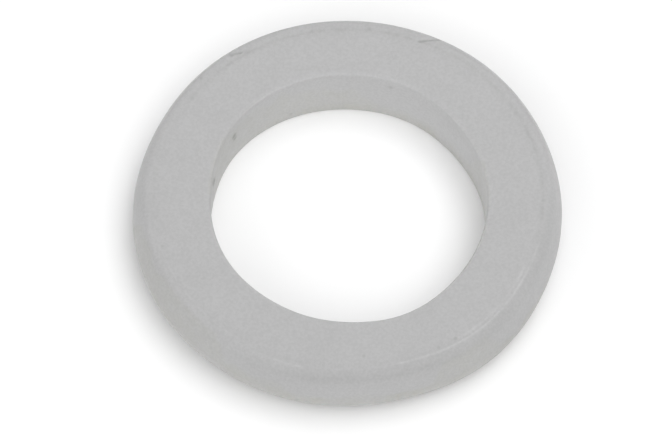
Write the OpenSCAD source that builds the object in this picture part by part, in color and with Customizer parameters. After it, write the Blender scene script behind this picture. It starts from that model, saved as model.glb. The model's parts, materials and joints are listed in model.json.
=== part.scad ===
// Flat sealing washer: one soft plastic ring, square in section at the bore and
// crowned on the outside. The origin is the centre of the seat, with +Z up the bore.

/* [Ring] */
// Outside diameter at the widest circle of the rim
outer_d = 21.6; // [19:0.1:24]
// Diameter of the bore
bore_d = 13.9; // [11:0.1:15]
// Thickness from the seat to the top face
thickness = 3.2; // [2.6:0.1:4]

/* [Crowned rim] */
// Height of the widest circle above the seat
widest_height = 1.4; // [1.1:0.1:1.6]
// How far the rim draws in from the widest circle up to the top face
top_draw_in = 0.5; // [0.4:0.05:0.6]
// How far the rim draws in from the widest circle down to the seat
seat_draw_in = 0.7; // [0.4:0.05:0.8]
// Radius of the round between the rim and the top face
top_edge_round = 0.5; // [0.2:0.05:0.6]
// Radius of the round between the rim and the seat
seat_edge_round = 0.3; // [0.1:0.05:0.4]

/* [Bore] */
// Radius of the round at each end of the bore
bore_edge_round = 0.15; // [0.1:0.05:0.4]

/* [Witness line] */
// Distance from the widest circle in to the fine ring groove in the top face
witness_inset = 1.0; // [0.95:0.05:1.4]
// Depth of the groove
witness_depth = 0.03; // [0.02:0.01:0.06]
// Radius of the groove's rounded bottom
witness_round = 0.15; // [0.1:0.05:0.3]

/* [Hidden] */

outer_r = outer_d / 2;
bore_r = bore_d / 2;
witness_r = outer_r - witness_inset;
witness_centre_z = thickness - witness_depth + witness_round;
witness_half_angle = acos(1 - witness_depth / witness_round);

// Steps along each round stretch of the outline, and round the ring
crown_steps = 12;
edge_steps = 8;
groove_steps = 6;
ring_facets = 180;

// Points along an arc from angle "from" to angle "to", anticlockwise from +X when rising.
function arc(centre, radius, from, to, steps) = [
    for (step = [0 : steps])
        let (angle = from + (to - from) * step / steps)
            centre + radius * [cos(angle), sin(angle)]
];

// Radius of the arc that draws in by "draw_in" over the height "rise",
// starting parallel to the axis.
function crown_radius(rise, draw_in) = (rise * rise + draw_in * draw_in) / (2 * draw_in);

// Outline of the rim from the widest circle, at height 0, up to a flat face at height
// "rise": a crown arc, then an edge round that lies inside it and runs on into the flat.
function rim_outline(rise, draw_in, edge) =
    let (
        crown = crown_radius(rise, draw_in),
        meet = asin((rise - edge) / (crown - edge)),
        crown_centre = [outer_r - crown, 0],
        edge_centre = crown_centre + (crown - edge) * [cos(meet), sin(meet)]
    )
    concat(
        arc(crown_centre, crown, 0, meet, crown_steps),
        arc(edge_centre, edge, meet + (90 - meet) / edge_steps, 90, edge_steps - 1)
    );

// The fine groove that the mould insert leaves in the top face, rounded at the bottom.
function witness_outline() =
    arc(
        [witness_r, witness_centre_z],
        witness_round,
        270 + witness_half_angle,
        270 - witness_half_angle,
        groove_steps
    );

function bore_top_outline() =
    arc([bore_r + bore_edge_round, thickness - bore_edge_round], bore_edge_round, 90, 180, edge_steps);

function bore_seat_outline() =
    arc([bore_r + bore_edge_round, bore_edge_round], bore_edge_round, 180, 270, edge_steps);

function raised(points, height) = [for (point = points) point + [0, height]];

// The outline turned upside down and run the other way. Its first point, on the widest
// circle, is left out, because the upper half starts there.
function flipped(points) = [for (i = [len(points) - 1 : -1 : 1]) [points[i].x, -points[i].y]];

// Half of the ring cut through its axis, anticlockwise from the seat's outer edge.
module ring_section() {
    polygon(concat(
        raised(flipped(rim_outline(widest_height, seat_draw_in, seat_edge_round)), widest_height),
        raised(rim_outline(thickness - widest_height, top_draw_in, top_edge_round), widest_height),
        witness_outline(),
        bore_top_outline(),
        bore_seat_outline()
    ));
}

module washer_ring() {
    color([0.73, 0.73, 0.72, 0.9])
        rotate_extrude($fn = ring_facets) ring_section();
}

washer_ring();
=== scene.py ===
"""A thick flat washer in soft, milky, translucent plastic, lying on a white table.

Everything is in metres, in the frame of the CAD part: the origin is the centre of the
seat and +Z runs up the bore. Azimuths are in degrees, anticlockwise from +X seen from
above, so the camera, which looks along +Y, has the near side of the ring at 270.
"""

import json
import math

import bpy
import numpy as np
from mathutils import Matrix, Vector


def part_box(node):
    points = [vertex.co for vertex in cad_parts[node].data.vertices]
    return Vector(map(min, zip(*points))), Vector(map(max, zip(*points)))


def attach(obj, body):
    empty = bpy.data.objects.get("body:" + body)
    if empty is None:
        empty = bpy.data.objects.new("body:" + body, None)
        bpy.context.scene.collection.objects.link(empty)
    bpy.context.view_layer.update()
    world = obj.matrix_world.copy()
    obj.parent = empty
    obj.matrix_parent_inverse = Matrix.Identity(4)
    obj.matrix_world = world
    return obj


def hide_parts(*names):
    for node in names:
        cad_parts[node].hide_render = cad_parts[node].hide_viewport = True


MM = 0.001

# The section of the ring, as in the CAD part.
WIDEST_HEIGHT = 1.4 * MM
TOP_DRAW_IN = 0.5 * MM
SEAT_DRAW_IN = 0.7 * MM
TOP_EDGE_ROUND = 0.5 * MM
SEAT_EDGE_ROUND = 0.3 * MM
BORE_EDGE_ROUND = 0.15 * MM
WITNESS_INSET = 1.0 * MM

# How finely the ring is meshed: round it, and along each stretch of its section. The top
# face has finer steps in three strips: at the lip, at the witness line and by the bore.
AROUND = 900
UPPER_RIM_STEPS = (15, 13)
LOWER_RIM_STEPS = (10, 5)
LIP_STEPS = 8
LIP_ZONE = 0.14 * MM
WORKED_STEPS = 9
WORKED_ZONE = 0.25 * MM
FACE_STEPS = 9
BORE_EDGE_STEPS = 5
BORE_EDGE_ZONE = 0.3 * MM
BORE_TOP_STEPS = 7
BORE_WALL_STEPS = 11
BORE_SEAT_STEPS = 5
SEAT_STEPS = 8

# Where cooling and trimming left the ring a little out of round: (azimuth, how far the
# wall stands out from the axis), each spread over SWAY_SPREAD degrees. The far wall of
# the bore also leans back at the top, and the whole ring came out a hair undersize.
RIM_SWAY = [
    (287, -0.20 * MM),
    (341, -0.13 * MM),
    (157, -0.11 * MM),
    (50, 0.07 * MM),
    (258, -0.08 * MM),
    (228, -0.04 * MM),
]
BORE_SWAY = [
    (40, -0.09 * MM),
    (175, -0.10 * MM),
    (295, 0.16 * MM),
    (140, 0.05 * MM),
    (90, -0.05 * MM),
    (215, 0.05 * MM),
    (258, 0.05 * MM),
]
SWAY_SPREAD = 20
BORE_LEAN = 0.30 * MM
LEAN_SPREAD = 60
SHRINK = 0.005 * MM

# Where one side of the ring gives way to another. The rim comes in and the sway of the
# bore goes out between two radii. The bore wall's paleness goes out within a thin skin,
# and its stains between two distances from it. The top comes in between two shares of
# the height.
RIM_SIDE = (8.5 * MM, 10.0 * MM)
BORE_SIDE = (7.2 * MM, 8.5 * MM)
BORE_WALL_SKIN = 0.1 * MM
BORE_STAIN_SKIN = (0.05 * MM, 0.25 * MM)
TOP_SIDE = (0.75, 0.9)

# Every RUN below says where a mark lies round the ring: its start and end in azimuth,
# then the degrees that it takes to come in at the start and to go out at the end.

# The thin raised lip of flash along the outer edge of the top, on a circle LIP_INSET in
# from the widest one. Each stretch has its strength, how far outside that circle it lies,
# and its run: strong on the near right, chipped, then faint round to the left.
LIP_INSET = 0.85 * MM
LIP_RISE = 0.012 * MM
LIP_WIDTH = 0.06 * MM
LIP_STRETCHES = [
    (1.0, 0.0, (286.5, 350, 1, 12)),
    (1.0, 0.1 * MM, (247, 259, 3, 2)),
    (0.3, -0.12 * MM, (193, 244, 6, 4)),
]

# A second lip, broader and lower, just inside the first.
SECOND_LIP_GAP = 0.22 * MM
SECOND_LIP_WIDTH = 1.3 * LIP_WIDTH
SECOND_LIP_SHARE = 0.6
SECOND_LIP_RUN = (303, 342, 8, 8)

# The shallow cove that the trimming left just outside the lip: it steps down over
# COVE_STEP, and runs out again from COVE_TURN to COVE_REACH.
COVE_DEPTH = 0.02 * MM
COVE_STEP = (-0.02 * MM, 0.2 * MM)
COVE_REACH = 0.6 * MM
COVE_TURN = 0.4 * COVE_REACH
COVE_RUN = (220, 352, 25, 20)

# The witness line, shallower here than in the CAD part: its depth, half its width, how
# much of it is left where it isn't clear, and how dirty it is.
WITNESS_DEPTH = 0.012 * MM
WITNESS_WIDTH = 0.09 * MM
WITNESS_LEAST = 0.15
WITNESS_DIRT = 0.08
CLEAR_WITNESS_RUN = (340, 150, 20, 20)

# Cuts in the outer edge: start and end as (azimuth, radius), then depth, half width and
# how dirty they are.
NICKS = [
    ((70.5, 9.77 * MM), (65.9, 10.32 * MM), 0.05 * MM, 0.06 * MM, 0.22),
    ((127.8, 10.2 * MM), (124.9, 9.99 * MM), 0.05 * MM, 0.07 * MM, 0.20),
    ((124.9, 9.99 * MM), (119.0, 9.66 * MM), 0.01 * MM, 0.12 * MM, 0.05),
]

# Dark specks in the surface, as (azimuth, radius, height, size, darkness).
FACE = 3.18 * MM
SPECKS = [
    (168.5, 6.88 * MM, 1.9 * MM, 0.36 * MM, 0.60),
    (171, 6.90 * MM, 2.4 * MM, 0.32 * MM, 0.60),
    (145.5, 7.05 * MM, 1.8 * MM, 0.24 * MM, 0.30),
    (146, 7.06 * MM, 2.1 * MM, 0.28 * MM, 0.40),
    (116, 6.98 * MM, 0.5 * MM, 0.16 * MM, 0.14),
    (74.6, 7.14 * MM, 2.54 * MM, 0.20 * MM, 0.14),
    (127.5, 10.12 * MM, FACE, 0.18 * MM, 0.20),
    (86, 9.89 * MM, FACE, 0.17 * MM, 0.15),
    (103, 9.80 * MM, FACE, 0.15 * MM, 0.12),
    (146, 9.70 * MM, FACE, 0.15 * MM, 0.12),
    (139, 10.10 * MM, FACE, 0.15 * MM, 0.11),
    (199, 9.71 * MM, FACE, 0.13 * MM, 0.12),
    (2, 9.73 * MM, FACE, 0.14 * MM, 0.10),
    (306, 9.59 * MM, FACE, 0.15 * MM, 0.20),
    (300, 9.59 * MM, FACE, 0.13 * MM, 0.10),
    (277, 9.04 * MM, FACE, 0.13 * MM, 0.10),
    (329, 9.74 * MM, FACE, 0.12 * MM, 0.09),
]

# The plastic: linear colours, and the sizes and strengths of its grain and clouds. The lighter
# mark colour is painted light, and the darker one is partly painted shade and partly a plain
# darker tone.
PLASTIC = (0.4840, 0.4835, 0.4850)
PAINTED_LIGHT_PLASTIC = (0.5600, 0.5595, 0.5610)
DARKENED_AND_SHADED_PLASTIC = (0.4210, 0.4195, 0.4200)
WARM_TINT = (0.970, 0.968, 0.915)
GRIME = (0.09, 0.09, 0.07)
GRAIN_SIZE = 0.13 * MM
GRAIN_STRENGTH = 0.045
CLOUD_SIZE = 3.0 * MM
CLOUD_STRENGTH = 0.012
MOTTLE_SIZE = 0.6 * MM
SCATTER_DEPTH = 0.18 * MM
SPECULAR_LEVEL = 0.15
ROUGHNESS_RANGE = (0.5, 0.7)
BUMP_HEIGHT = 0.004 * MM

# Where the plastic is darker: how far it goes over to the darker colour, from 0 to 1, and the
# radii or heights between which the place comes in or goes out. Round the edge of the top, on
# the right side of the wall and on the shoulder in front this is painted shade against the
# light that falls there; on the near left of the top and at the foot of the wall it is just a
# darker tone. The front is fully shaded from FRONT_START outside the lip.
LEFT_DARKENING = 0.14
LEFT_CENTRE = 240
EDGE_SHADE = 0.12
EDGE_RADII = (9.45 * MM, 9.75 * MM)
EDGE_HEIGHTS = (2.95 * MM, 3.1 * MM)
FOOT_DARKENING = 0.15
FOOT_HEIGHTS = (WIDEST_HEIGHT, 2.2 * MM)
RIGHT_SHADE = 0.22
RIGHT_RUN = (305, 40, 20, 20)
FRONT_SHADE = 0.4
FRONT_RUN = (250, 20, 15, 40)
FRONT_HEIGHTS = (2.6 * MM, 2.95 * MM)
FRONT_START = 0.12 * MM

# The same for where light is painted on: painted highlights along the lips and the far inner
# edge, and painted light on the shoulder at the left and high on the wall of the bore.
LIP_HIGHLIGHT = 0.7
SECOND_LIP_HIGHLIGHT = 0.8
INNER_EDGE_HIGHLIGHT = 0.05
INNER_EDGE_WIDTH = 0.08 * MM
INNER_EDGE_RUN = (92, 162, 10, 10)
SHOULDER_LIGHT = 0.2
SHOULDER_RUN = (180, 255, 10, 20)
SHOULDER_FOOT = (2.2 * MM, 2.7 * MM)
SHOULDER_HEAD = (2.95 * MM, 3.15 * MM)
BORE_SEAT_LIGHT = 0.4
BORE_TOP_LIGHT = 0.95
LIT_BORE_RUN = (345, 165, 35, 40)

# The yellow stains: how high they and their strong part reach, the heights between which
# the rim's stop short of the top, how far their edge wanders and fades, and the strength
# of the weak part. Each climb is how much higher the stain reaches along a run.
RIM_STAIN = 1.75 * MM
RIM_STRONG_STAIN = 1.65 * MM
RIM_STAIN_END = (3.05 * MM, 3.17 * MM)
RIM_STAIN_RUN = (178, 346, 6, 8)
RIM_CLIMBS = [
    (1.5 * MM, (185, 238, 6, 4)),
    (1.2 * MM, (294, 318, 6, 5)),
]
BORE_STAIN = 0.9 * MM
BORE_STRONG_STAIN = 0.5 * MM
CLEAN_BORE_RUN = (182, 322, 5, 5)
BORE_CLIMBS = [
    (1.0 * MM, (84, 185, 6, 5)),
    (1.4 * MM, (105, 185, 50, 5)),
    (2.4 * MM, (320, 34, 10, 18)),
]
STAIN_WANDER = 0.9 * MM
STAIN_FADE = 0.15 * MM
WEAK_STAIN = 0.45

# Half the side of the table.
TABLE_HALF = 0.4

# The camera, a very long lens seen from the front and well above.
CAMERA_ELEVATION = math.radians(60.5)
CAMERA_ROLL = math.radians(2.35)
CAMERA_DISTANCE = 0.9342
CAMERA_LENS = 1000.0
CAMERA_CLIP = (0.01, 10.0)
SENSOR_WIDTH = 36.0
AIM_OFFSET = (-0.573 * MM, -1.269 * MM)

# The soft boxes of the light tent, as (azimuth, elevation, strength), each fading over
# about 20 degrees: a high bank on the right, brightest at the back, and low fills from
# behind on the left round to the front right.
SOFT_BOXES = [
    (-60, 62, 1.5),
    (0, 62, 1.4),
    (60, 62, 2.9),
    (135, 35, 0.5),
    (180, 35, 0.9),
    (225, 35, 1.4),
    (270, 35, 1.4),
    (315, 35, 0.6),
]
BOX_TIGHTNESS = 12.0


def smooth(low, high, value):
    """0 below low and 1 above high, with a smooth step between them."""
    share = np.clip((value - low) / (high - low), 0, 1)
    return share * share * (3 - 2 * share)


def bell(value, width):
    """1 at 0, falling off smoothly on both sides."""
    return np.exp(-((value / width) ** 2))


def at_least(least, share):
    """A share from 0 to 1, squeezed to run from a least value to 1."""
    return least + (1 - least) * share


def turn_from(azimuth, centre):
    """Degrees from a centre azimuth, between -180 and 180."""
    return (azimuth - centre + 180) % 360 - 180


def span(azimuth, start, end, fade_in, fade_out):
    """1 from one azimuth round to another, fading at both ends."""
    turned = (azimuth - start) % 360
    length = (end - start) % 360
    return smooth(0, fade_in, turned) * (1 - smooth(length - fade_out, length, turned))


def patchy(azimuth, seed, patches):
    """A smooth random wander between 0 and 1 round the ring."""
    knots = np.random.default_rng(seed).random(patches)
    place = azimuth / 360 * patches
    here = np.floor(place).astype(int) % patches
    share = smooth(0, 1, place - np.floor(place))
    return knots[here] * (1 - share) + knots[(here + 1) % patches] * share


def arc(centre, radius, start, end, steps):
    """Points (distance from the axis, height) on an arc between two angles in degrees."""
    angles = np.radians(np.linspace(start, end, steps + 1))
    return np.column_stack([centre[0] + radius * np.cos(angles), centre[1] + radius * np.sin(angles)])


def line(start, end, steps):
    """Points (distance from the axis, height) on a straight line."""
    return np.linspace(start, end, steps + 1)


def rim_half(outer_r, rise, draw_in, edge, crown_steps, edge_steps):
    """The rim from the widest circle, at height 0, up to where the flat starts."""
    crown = (rise**2 + draw_in**2) / (2 * draw_in)
    meet = math.asin((rise - edge) / (crown - edge))
    crown_centre = np.array([outer_r - crown, 0.0])
    edge_centre = crown_centre + (crown - edge) * np.array([math.cos(meet), math.sin(meet)])
    return np.vstack([
        arc(crown_centre, crown, 0, math.degrees(meet), crown_steps),
        arc(edge_centre, edge, math.degrees(meet), 90, edge_steps)[1:],
    ])


def section(outer_r, bore_r, top):
    """The closed outline of the ring's section, anticlockwise from the seat."""
    upper = rim_half(outer_r, top - WIDEST_HEIGHT, TOP_DRAW_IN, TOP_EDGE_ROUND, *UPPER_RIM_STEPS)
    lower = rim_half(outer_r, WIDEST_HEIGHT, SEAT_DRAW_IN, SEAT_EDGE_ROUND, *LOWER_RIM_STEPS)
    upper = upper + [0, WIDEST_HEIGHT]
    lower = (lower * [1, -1] + [0, WIDEST_HEIGHT])[::-1]
    bore_top = [bore_r + BORE_EDGE_ROUND, top - BORE_EDGE_ROUND]
    bore_seat = [bore_r + BORE_EDGE_ROUND, BORE_EDGE_ROUND]
    lip_inside = upper[-1][0] - LIP_ZONE
    worked_r = outer_r - WITNESS_INSET - WORKED_ZONE
    bore_edge = bore_top[0] + BORE_EDGE_ZONE
    return np.vstack([
        lower[:-1],
        upper,
        line(upper[-1], [lip_inside, top], LIP_STEPS)[1:],
        line([lip_inside, top], [worked_r, top], WORKED_STEPS)[1:],
        line([worked_r, top], [bore_edge, top], FACE_STEPS)[1:],
        line([bore_edge, top], [bore_top[0], top], BORE_EDGE_STEPS)[1:],
        arc(bore_top, BORE_EDGE_ROUND, 90, 180, BORE_TOP_STEPS)[1:],
        line([bore_r, bore_top[1]], [bore_r, bore_seat[1]], BORE_WALL_STEPS)[1:],
        arc(bore_seat, BORE_EDGE_ROUND, 180, 270, BORE_SEAT_STEPS)[1:],
        line([bore_seat[0], 0], lower[0], SEAT_STEPS)[1:-1],
    ])


def outward(outline):
    """The outward direction at each point of an anticlockwise section outline."""
    along = np.roll(outline, -1, axis=0) - np.roll(outline, 1, axis=0)
    normal = np.column_stack([along[:, 1], -along[:, 0]])
    return normal / np.linalg.norm(normal, axis=1)[:, None]


def on_circle(azimuth, radius):
    """The x and y of a place given by its azimuth and radius."""
    turn = math.radians(azimuth)
    return np.array([radius * math.cos(turn), radius * math.sin(turn)])


def cut_shape(azimuth, radius, start, end, half_width):
    """How deep a straight cut is, from 0 to 1, between two (azimuth, radius) places."""
    turn = np.radians(azimuth)
    x, y = radius * np.cos(turn), radius * np.sin(turn)
    a = on_circle(*start)
    run = on_circle(*end) - a
    share = np.clip(((x - a[0]) * run[0] + (y - a[1]) * run[1]) / (run @ run), 0, 1)
    return bell(np.hypot(x - a[0] - share * run[0], y - a[1] - share * run[1]), half_width)


class Surface:
    """The relief of the ring and the marks on it, for arrays of azimuth, radius and height."""

    def __init__(self, azimuth, radius, height, outer_r, bore_r, top):
        self.azimuth, self.radius, self.height = azimuth, radius, height
        self.on_top = smooth(TOP_SIDE[0] * top, TOP_SIDE[1] * top, height)
        self.on_rim = smooth(*RIM_SIDE, radius)
        self.on_bore_wall = 1 - smooth(0, BORE_WALL_SKIN, radius - bore_r)
        self.near_bore_wall = 1 - smooth(*BORE_STAIN_SKIN, radius - bore_r)
        self.up = height / top
        self.past_lip = radius - (outer_r - LIP_INSET)
        self.past_witness = radius - (outer_r - WITNESS_INSET)
        self.past_inner_edge = radius - (bore_r + BORE_EDGE_ROUND)
        self.trimming = at_least(0.75, patchy(azimuth, seed=5, patches=40))

    def along(self, run):
        """1 along a run of azimuths, fading at both ends."""
        return span(self.azimuth, *run)

    def lip(self):
        """The stretches of the first lip, broken here and there."""
        ridges = sum(
            strength * self.along(run) * bell(self.past_lip - out, LIP_WIDTH)
            for strength, out, run in LIP_STRETCHES
        )
        return self.on_top * ridges * at_least(0.25, patchy(self.azimuth, seed=3, patches=110))

    def second_lip(self):
        """The second lip, more broken than the first."""
        along = self.along(SECOND_LIP_RUN) * patchy(self.azimuth, seed=4, patches=120)
        return self.on_top * along * bell(self.past_lip + SECOND_LIP_GAP, SECOND_LIP_WIDTH)

    def cove(self):
        """A step down just outside the lip, which runs out again down the rim."""
        along = self.along(COVE_RUN) * self.trimming
        across = smooth(*COVE_STEP, self.past_lip) * (1 - smooth(COVE_TURN, COVE_REACH, self.past_lip))
        return self.on_top * along * across

    def witness(self):
        """The fine line near the outer edge, clear on the far side and almost gone near us."""
        along = at_least(WITNESS_LEAST, self.along(CLEAR_WITNESS_RUN))
        return self.on_top * along * bell(self.past_witness, WITNESS_WIDTH)

    def nick(self, start, end, half_width):
        """How deep one cut in the top is, from 0 to 1."""
        return self.on_top * cut_shape(self.azimuth, self.radius, start, end, half_width)

    def rise(self):
        """How far the surface stands out along its own outward direction."""
        cuts = sum(depth * self.nick(start, end, width) for start, end, depth, width, dirt in NICKS)
        return (
            LIP_RISE * (self.lip() + SECOND_LIP_SHARE * self.second_lip())
            - COVE_DEPTH * self.cove()
            - WITNESS_DEPTH * self.witness()
            - cuts
        )

    def sway(self):
        """How far the walls stand out from the axis, where the ring isn't round or upright."""
        lean = BORE_LEAN * self.up * bell(turn_from(self.azimuth, 90), LEAN_SPREAD)
        bore = self.out_of_round(BORE_SWAY) + lean
        return self.out_of_round(RIM_SWAY) * self.on_rim + bore * (1 - smooth(*BORE_SIDE, self.radius))

    def out_of_round(self, places):
        """The swells and flats of one wall, added up."""
        return sum(far * bell(turn_from(self.azimuth, place), SWAY_SPREAD) for place, far in places)

    def grime(self):
        """Dark dirt in the nicks and in the witness line, most on the far side."""
        in_nicks = sum(dirt * self.nick(start, end, width) for start, end, depth, width, dirt in NICKS)
        in_line = self.witness() * patchy(self.azimuth, seed=6, patches=200)
        return np.clip(in_nicks + WITNESS_DIRT * in_line, 0, 1)

    def darkening_and_shade(self):
        """Darker on the near left of the top and at the foot of the wall, and painted shade round
        the edge of the top, on the right side of the wall and most of all on the shoulder in front."""
        # Darker towards the near left of the top.
        left = self.on_top * (0.5 + 0.5 * np.cos(np.radians(self.azimuth - LEFT_CENTRE)))
        # Painted shade on the outer band of the top, where the edge round catches the light.
        edge = smooth(*EDGE_RADII, self.radius) * smooth(*EDGE_HEIGHTS, self.height)
        # Darker low on the wall, up to a little above the widest circle.
        foot = self.on_rim * (1 - smooth(*FOOT_HEIGHTS, self.height))
        # Painted shade on the right side of the wall, which faces the brightest boxes.
        right = self.on_rim * (1 - self.on_top) * self.along(RIGHT_RUN)
        # Painted shade on the shoulder in front, over the bright ridge below the lip, patchy like the
        # cove.
        shoulder = smooth(0, FRONT_START, self.past_lip) * smooth(*FRONT_HEIGHTS, self.height)
        front = self.along(FRONT_RUN) * self.trimming * shoulder
        return (
            LEFT_DARKENING * left
            + EDGE_SHADE * edge
            + FOOT_DARKENING * foot
            + RIGHT_SHADE * right
            + FRONT_SHADE * front
        )

    def painted_light(self):
        """Painted highlights on the lips and the far inner edge, and painted light on the shoulder
        at the left and high on the wall of the bore."""
        # Painted highlights along the lips.
        lips = LIP_HIGHLIGHT * self.lip() + SECOND_LIP_HIGHLIGHT * self.second_lip()
        # Painted highlight along the far inner edge.
        edge = self.on_top * bell(self.past_inner_edge, INNER_EDGE_WIDTH) * self.along(INNER_EDGE_RUN)
        # Painted light on the shoulder at the left.
        band = smooth(*SHOULDER_FOOT, self.height) * (1 - smooth(*SHOULDER_HEAD, self.height))
        shoulder = self.on_rim * band * self.along(SHOULDER_RUN)
        # Painted light on the wall of the bore, strongest high up.
        upward = BORE_SEAT_LIGHT + (BORE_TOP_LIGHT - BORE_SEAT_LIGHT) * self.up
        wall = upward * self.on_bore_wall * self.along(LIT_BORE_RUN)
        return np.clip(lips + INNER_EDGE_HIGHLIGHT * edge + SHOULDER_LIGHT * shoulder + wall, 0, 1)

    def warmth(self):
        """Faint yellow stains that climb the walls in places, strongest low down."""
        below_top = 1 - smooth(*RIM_STAIN_END, self.height)
        rim = self.stain(RIM_STAIN, RIM_CLIMBS, RIM_STRONG_STAIN)
        bore = self.stain(BORE_STAIN, BORE_CLIMBS, BORE_STRONG_STAIN)
        on_rim = self.on_rim * below_top * self.along(RIM_STAIN_RUN)
        on_bore = self.near_bore_wall * (1 - self.along(CLEAN_BORE_RUN))
        return rim * on_rim + bore * on_bore

    def stain(self, reach, climbs, strong_reach):
        """Weak up to a height that climbs and wanders, and in patches strong up to another."""
        wander = STAIN_WANDER * (patchy(self.azimuth, seed=8, patches=60) - 0.5)
        weak_edge = reach + sum(climb * self.along(run) for climb, run in climbs) + wander
        strong = self.below(strong_reach) * patchy(self.azimuth, seed=9, patches=90)
        return WEAK_STAIN * self.below(weak_edge) + (1 - WEAK_STAIN) * strong

    def below(self, edge):
        """1 below the edge of a stain and 0 above it."""
        return 1 - smooth(edge - STAIN_FADE, edge + STAIN_FADE, self.height)


def ring_faces(count):
    """The quads between neighbouring sections of count points each, all the way round."""
    faces = []
    for i in range(AROUND):
        here, there = i * count, (i + 1) % AROUND * count
        for j in range(count):
            k = (j + 1) % count
            faces.append((here + j, there + j, there + k, here + k))
    return faces


def ring_mesh(name, outline, outer_r, bore_r, top):
    """The turned ring with its relief, and its marks, painted light and shade among them, as attributes
    of the points.
    """
    azimuth = np.linspace(0, 360, AROUND, endpoint=False)[:, None]
    surface = Surface(azimuth, outline[None, :, 0], outline[None, :, 1], outer_r, bore_r, top)
    normal = outward(outline)
    rise = surface.rise()
    radius = surface.radius + rise * normal[None, :, 0] + surface.sway()
    height = surface.height + rise * normal[None, :, 1]
    turn = np.radians(azimuth)
    points = np.stack([radius * np.cos(turn), radius * np.sin(turn), height], axis=-1)
    mesh = bpy.data.meshes.new(name)
    mesh.from_pydata(points.reshape(-1, 3), [], ring_faces(len(outline)))
    for mark in ("grime", "darkening_and_shade", "painted_light", "warmth"):
        values = getattr(surface, mark)().ravel()
        mesh.attributes.new(mark, "FLOAT", "POINT").data.foreach_set("value", values)
    mesh.shade_smooth()
    return mesh


def build_washer(frame):
    """The ring, sized from the frame, with its highest and widest points inside the CAD box."""
    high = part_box("washer_ring")[1]
    bore = next(m for m in frame["record"]["mounts"] if m["name"] == "bore")
    bore_r = bore["dims"]["r_mm"] * MM
    face_top = high.z - LIP_RISE
    outer_r = high.x - SHRINK
    mesh = ring_mesh("washer", section(outer_r, bore_r, face_top), outer_r, bore_r, face_top)
    washer = bpy.data.objects.new("washer", mesh)
    bpy.context.scene.collection.objects.link(washer)
    return washer


class Nodes:
    """Short ways to add nodes to a material and link them."""

    def __init__(self, tree):
        self.tree = tree

    def put(self, target, value):
        """Links a socket, or sets a constant."""
        if isinstance(value, bpy.types.NodeSocket):
            self.tree.links.new(value, target)
        elif target.type == "RGBA":
            target.default_value = (*value, 1.0)
        else:
            target.default_value = value

    def math(self, operation, a, b):
        """One arithmetic step on two numbers."""
        node = self.tree.nodes.new("ShaderNodeMath")
        node.operation = operation
        self.put(node.inputs[0], a)
        self.put(node.inputs[1], b)
        return node.outputs[0]

    def attribute(self, name):
        """A mark of the mesh, by its name."""
        node = self.tree.nodes.new("ShaderNodeAttribute")
        node.attribute_name = name
        return node.outputs["Fac"]

    def position(self):
        """The place being shaded, in metres."""
        return self.tree.nodes.new("ShaderNodeTexCoord").outputs["Object"]

    def noise(self, size, detail):
        """Noise from 0 to 1 with blotches of about the given size."""
        node = self.tree.nodes.new("ShaderNodeTexNoise")
        self.put(node.inputs["Vector"], self.position())
        node.inputs["Scale"].default_value = 1 / size
        node.inputs["Detail"].default_value = detail
        return node.outputs["Fac"]

    def ramp(self, value, low, high, to_low=0.0, to_high=1.0):
        """Maps one range smoothly to another."""
        node = self.tree.nodes.new("ShaderNodeMapRange")
        node.interpolation_type = "SMOOTHSTEP"
        for name, setting in zip(("Value", "From Min", "From Max", "To Min", "To Max"),
                                 (value, low, high, to_low, to_high)):
            self.put(node.inputs[name], setting)
        return node.outputs["Result"]

    def near(self, point, size, amount):
        """An amount at a point, fading to 0 at the given distance from it."""
        node = self.tree.nodes.new("ShaderNodeVectorMath")
        node.operation = "DISTANCE"
        self.put(node.inputs[0], self.position())
        self.put(node.inputs[1], point)
        return self.ramp(node.outputs["Value"], 0.2 * size, size, amount, 0.0)

    def scaled(self, colour, factor):
        """Multiplies a colour by a number or by another colour."""
        node = self.tree.nodes.new("ShaderNodeVectorMath")
        node.operation = "MULTIPLY"
        self.put(node.inputs[0], colour)
        self.put(node.inputs[1], factor)
        return node.outputs["Vector"]

    def tint(self, colour, share, other):
        """Blends one colour over another by a share."""
        node = self.tree.nodes.new("ShaderNodeMix")
        node.data_type = "RGBA"
        self.put(node.inputs[0], share)
        self.put(node.inputs[6], colour)
        self.put(node.inputs[7], other)
        return node.outputs[2]


def plastic_colour(nodes, grain):
    """The marks of the mesh over the plain plastic, painted shade and painted light among them, then
    dirt, clouds and a fine grain.
    """
    mottle = nodes.ramp(nodes.noise(MOTTLE_SIZE, 2.0), 0.35, 0.65, 0.6, 1.0)
    warm = nodes.math("MULTIPLY", nodes.attribute("warmth"), mottle)
    # Painted shade, and a plain darker tone in places, from the marks.
    colour = nodes.tint(PLASTIC, nodes.attribute("darkening_and_shade"), DARKENED_AND_SHADED_PLASTIC)
    # Painted highlights and painted light from the marks.
    colour = nodes.tint(colour, nodes.attribute("painted_light"), PAINTED_LIGHT_PLASTIC)
    colour = nodes.scaled(colour, nodes.tint((1.0, 1.0, 1.0), warm, WARM_TINT))
    colour = nodes.tint(colour, dirt_share(nodes), GRIME)
    clouds = nodes.noise(CLOUD_SIZE, 3.0)
    colour = nodes.scaled(colour, nodes.ramp(clouds, 0.25, 0.75, 1 - CLOUD_STRENGTH, 1 + CLOUD_STRENGTH))
    return nodes.scaled(colour, nodes.ramp(grain, 0.2, 0.8, 1 - GRAIN_STRENGTH, 1 + GRAIN_STRENGTH))


def dirt_share(nodes):
    """The dirt in the nicks and the line, and the dark specks."""
    total = nodes.attribute("grime")
    for azimuth, radius, height, size, darkness in SPECKS:
        speck = nodes.near((*on_circle(azimuth, radius), height), size, darkness)
        total = nodes.math("MAXIMUM", speck, total)
    return total


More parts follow.
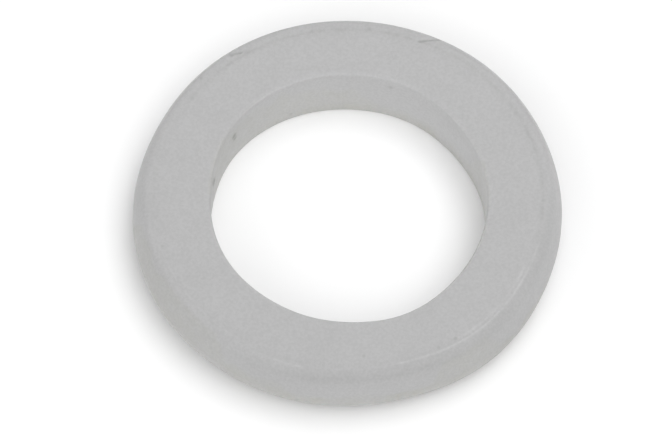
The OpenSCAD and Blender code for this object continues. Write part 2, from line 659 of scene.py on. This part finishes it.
def plastic_material():
    """Soft, milky, translucent plastic with a moulded satin skin."""
    material = bpy.data.materials.new("milky_plastic")
    material.use_nodes = True
    nodes = Nodes(material.node_tree)
    shader = material.node_tree.nodes["Principled BSDF"]
    grain = nodes.noise(GRAIN_SIZE, 1.0)
    nodes.put(shader.inputs["Base Color"], plastic_colour(nodes, grain))
    roughness = nodes.ramp(nodes.noise(MOTTLE_SIZE, 3.0), 0.3, 0.7, *ROUGHNESS_RANGE)
    nodes.put(shader.inputs["Roughness"], roughness)
    bump = material.node_tree.nodes.new("ShaderNodeBump")
    bump.inputs["Distance"].default_value = BUMP_HEIGHT
    nodes.put(bump.inputs["Height"], grain)
    nodes.put(shader.inputs["Normal"], bump.outputs["Normal"])
    shader.inputs["Subsurface Weight"].default_value = 1.0
    shader.inputs["Subsurface Radius"].default_value = (1.0, 1.0, 1.0)
    shader.inputs["Subsurface Scale"].default_value = SCATTER_DEPTH
    shader.inputs["Specular IOR Level"].default_value = SPECULAR_LEVEL
    return material


def table_material():
    """Plain matt white."""
    material = bpy.data.materials.new("white_table")
    material.use_nodes = True
    shader = material.node_tree.nodes["Principled BSDF"]
    shader.inputs["Base Color"].default_value = (0.95, 0.95, 0.95, 1)
    shader.inputs["Roughness"].default_value = 1.0
    shader.inputs["Specular IOR Level"].default_value = 0.0
    return material


def add_table():
    """A wide flat table under the seat."""
    corners = [(x * TABLE_HALF, y * TABLE_HALF, 0) for x, y in ((-1, -1), (1, -1), (1, 1), (-1, 1))]
    mesh = bpy.data.meshes.new("table")
    mesh.from_pydata(corners, [], [(0, 1, 2, 3)])
    table = bpy.data.objects.new("table", mesh)
    bpy.context.scene.collection.objects.link(table)
    table.data.materials.append(table_material())


def direction(azimuth, elevation):
    """The unit vector towards an azimuth and elevation, both in radians."""
    return Vector((
        math.cos(elevation) * math.cos(azimuth),
        math.cos(elevation) * math.sin(azimuth),
        math.sin(elevation),
    ))


def add_light():
    """A tent of broad soft boxes, painted on the world."""
    world = bpy.data.worlds.new("light_tent")
    world.use_nodes = True
    nodes = Nodes(world.node_tree)
    looking = world.node_tree.nodes.new("ShaderNodeTexCoord").outputs["Generated"]
    total = 0.0
    for azimuth, elevation, strength in SOFT_BOXES:
        toward = world.node_tree.nodes.new("ShaderNodeVectorMath")
        toward.operation = "DOT_PRODUCT"
        nodes.put(toward.inputs[0], looking)
        nodes.put(toward.inputs[1], direction(math.radians(azimuth), math.radians(elevation)))
        facing = nodes.math("MAXIMUM", toward.outputs["Value"], 0.0)
        box = nodes.math("MULTIPLY", nodes.math("POWER", facing, BOX_TIGHTNESS), strength)
        total = nodes.math("ADD", box, total)
    background = world.node_tree.nodes["Background"]
    nodes.put(background.inputs["Color"], (1, 1, 1))
    nodes.put(background.inputs["Strength"], total)
    bpy.context.scene.world = world


def add_camera():
    """The camera, aimed at a point of the top face a little off the axis."""
    camera = bpy.data.objects.new("camera", bpy.data.cameras.new("camera"))
    bpy.context.scene.collection.objects.link(camera)
    camera.data.lens = CAMERA_LENS
    camera.data.sensor_width = SENSOR_WIDTH
    camera.data.clip_start = CAMERA_CLIP[0]
    camera.data.clip_end = CAMERA_CLIP[1]
    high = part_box("washer_ring")[1]
    aim = Vector((AIM_OFFSET[0], AIM_OFFSET[1], high.z))
    back = direction(math.radians(-90), CAMERA_ELEVATION)
    turn = back.to_track_quat("Z", "Y").to_matrix().to_4x4() @ Matrix.Rotation(CAMERA_ROLL, 4, "Z")
    camera.matrix_world = Matrix.Translation(aim + back * CAMERA_DISTANCE) @ turn
    bpy.context.scene.camera = camera


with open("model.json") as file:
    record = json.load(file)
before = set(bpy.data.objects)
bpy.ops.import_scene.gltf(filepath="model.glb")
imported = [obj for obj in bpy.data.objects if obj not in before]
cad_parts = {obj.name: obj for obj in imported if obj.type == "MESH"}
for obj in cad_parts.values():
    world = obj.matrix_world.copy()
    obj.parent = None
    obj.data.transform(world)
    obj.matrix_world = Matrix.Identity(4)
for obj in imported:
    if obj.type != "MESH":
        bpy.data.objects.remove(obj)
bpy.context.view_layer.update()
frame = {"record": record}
add_camera()
add_light()
add_table()
washer = build_washer(frame)
washer.data.materials.append(plastic_material())
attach(washer, "root")
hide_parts("washer_ring")
bpy.context.scene.view_settings.view_transform = "Standard"
